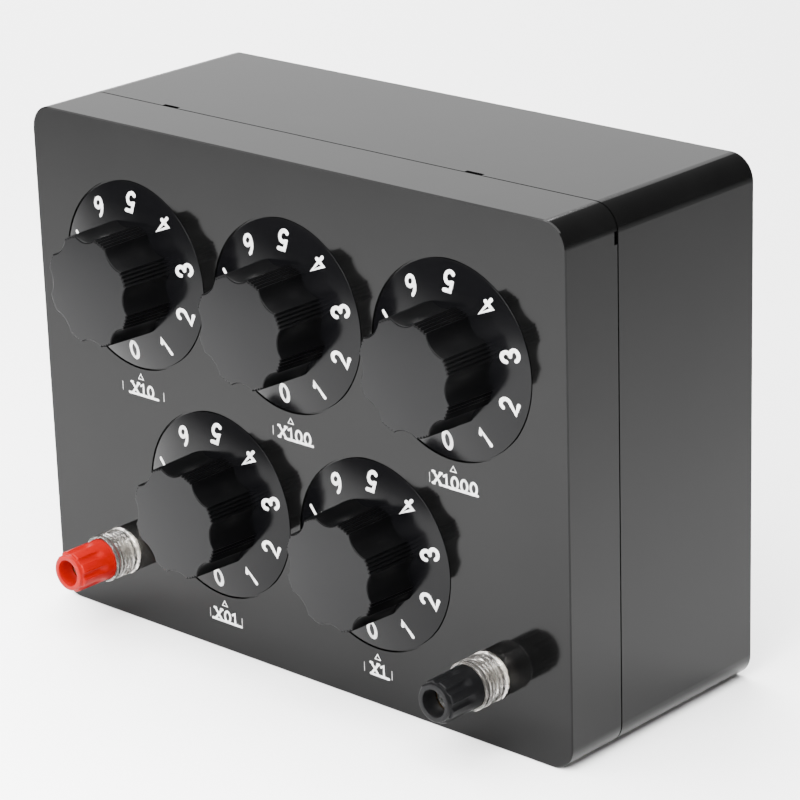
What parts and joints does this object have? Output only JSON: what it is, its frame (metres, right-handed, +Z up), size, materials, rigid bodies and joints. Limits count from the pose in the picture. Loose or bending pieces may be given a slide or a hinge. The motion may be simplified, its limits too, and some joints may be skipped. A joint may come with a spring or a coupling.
{
  "type": "decade resistance box",
  "caption": "Moulded plastic bench box with fluted rotary dials on numbered cone skirts, and a red and a black screw terminal with 4 mm sockets.",
  "frame": {"origin": "middle of the underside that the box stands on", "axes": "+Z up as the box stands, +X to the right along its length, -Y out of the dial panel"},
  "size_m": [0.165, 0.084, 0.126],
  "materials": {
    "case_plastic": "smooth glossy black moulded plastic",
    "knob_plastic": "glossy black moulded plastic",
    "red_plastic": "glossy red moulded plastic",
    "black_cap_plastic": "satin black moulded plastic",
    "clear_plastic": "clear moulded plastic",
    "brass": "plain turned brass",
    "plated_metal": "nickel plated, plain",
    "zinc_steel": "zinc plated steel",
    "laminate": "brown laminate",
    "rotor_plastic": "plain pale moulded plastic",
    "resistor_body": "plain blue coated resistor",
    "copper": "bare tinned copper wire"
  },
  "bodies": {
    "case": {"front_cover": "case_plastic", "rear_case": "case_plastic", "case_screws": "zinc_steel", "switch_bushing_x01": "plated_metal", "wafer_x01": "laminate", "contacts_x01": "plated_metal", "resistors_x01": "resistor_body", "switch_bushing_x1": "plated_metal", "wafer_x1": "laminate", "contacts_x1": "plated_metal", "resistors_x1": "resistor_body", "switch_bushing_x10": "plated_metal", "wafer_x10": "laminate", "contacts_x10": "plated_metal", "resistors_x10": "resistor_body", "switch_bushing_x100": "plated_metal", "wafer_x100": "laminate", "contacts_x100": "plated_metal", "resistors_x100": "resistor_body", "switch_bushing_x1000": "plated_metal", "wafer_x1000": "laminate", "contacts_x1000": "plated_metal", "resistors_x1000": "resistor_body", "bushing_nuts": "plated_metal", "detent_springs": "plated_metal", "switch_standoffs": "plated_metal", "wafer_bolts": "plated_metal", "insulating_washers": "laminate", "terminal_nuts": "plated_metal", "solder_lugs": "plated_metal", "connecting_wires": "copper", "terminal_collar_red": "clear_plastic", "terminal_stud_red": "plated_metal", "terminal_collar_black": "clear_plastic", "terminal_stud_black": "plated_metal"},
    "dial_x01": {"knob_x01": "knob_plastic", "shaft_x01": "zinc_steel", "detent_wheel_x01": "zinc_steel", "rotor_x01": "rotor_plastic"},
    "dial_x1": {"knob_x1": "knob_plastic", "shaft_x1": "zinc_steel", "detent_wheel_x1": "zinc_steel", "rotor_x1": "rotor_plastic"},
    "dial_x10": {"knob_x10": "knob_plastic", "shaft_x10": "zinc_steel", "detent_wheel_x10": "zinc_steel", "rotor_x10": "rotor_plastic"},
    "dial_x100": {"knob_x100": "knob_plastic", "shaft_x100": "zinc_steel", "detent_wheel_x100": "zinc_steel", "rotor_x100": "rotor_plastic"},
    "dial_x1000": {"knob_x1000": "knob_plastic", "shaft_x1000": "zinc_steel", "detent_wheel_x1000": "zinc_steel", "rotor_x1000": "rotor_plastic"},
    "insert_red": {"cap_insert_red": "brass"},
    "cap_red": {"terminal_cap_red": "red_plastic"},
    "insert_black": {"cap_insert_black": "brass"},
    "cap_black": {"terminal_cap_black": "black_cap_plastic"}
  },
  "joints": [
    {"name": "dial_x01_turn", "type": "hinge", "parent": "case", "child": "dial_x01", "pos_m": [-0.0248, -0.0325, 0.0373], "axis": [0, 1, 0], "range_deg": [0, 324]},
    {"name": "dial_x1_turn", "type": "hinge", "parent": "case", "child": "dial_x1", "pos_m": [0.0248, -0.0325, 0.0373], "axis": [0, 1, 0], "range_deg": [0, 324]},
    {"name": "dial_x10_turn", "type": "hinge", "parent": "case", "child": "dial_x10", "pos_m": [-0.0496, -0.0325, 0.0893], "axis": [0, 1, 0], "range_deg": [0, 324]},
    {"name": "dial_x100_turn", "type": "hinge", "parent": "case", "child": "dial_x100", "pos_m": [0, -0.0325, 0.0893], "axis": [0, 1, 0], "range_deg": [0, 324]},
    {"name": "dial_x1000_turn", "type": "hinge", "parent": "case", "child": "dial_x1000", "pos_m": [0.0496, -0.0325, 0.0893], "axis": [0, 1, 0], "range_deg": [0, 324]},
    {"name": "cap_red_travel", "type": "slide", "parent": "case", "child": "insert_red", "axis": [0, -1, 0], "range_m": [0, 0.005]},
    {"name": "cap_red_unscrew", "type": "hinge", "parent": "insert_red", "child": "cap_red", "pos_m": [-0.059, -0.0325, 0.0172], "axis": [0, -1, 0], "range_deg": [0, 1800]},
    {"name": "cap_black_travel", "type": "slide", "parent": "case", "child": "insert_black", "axis": [0, -1, 0], "range_m": [0, 0.005]},
    {"name": "cap_black_unscrew", "type": "hinge", "parent": "insert_black", "child": "cap_black", "pos_m": [0.059, -0.0325, 0.0172], "axis": [0, -1, 0], "range_deg": [0, 1800]}
  ],
  "couplings": [
    {"joint": "cap_red_unscrew", "follows": "cap_red_travel", "rad_per_m": 6283.2},
    {"joint": "cap_black_unscrew", "follows": "cap_black_travel", "rad_per_m": 6283.2}
  ]
}
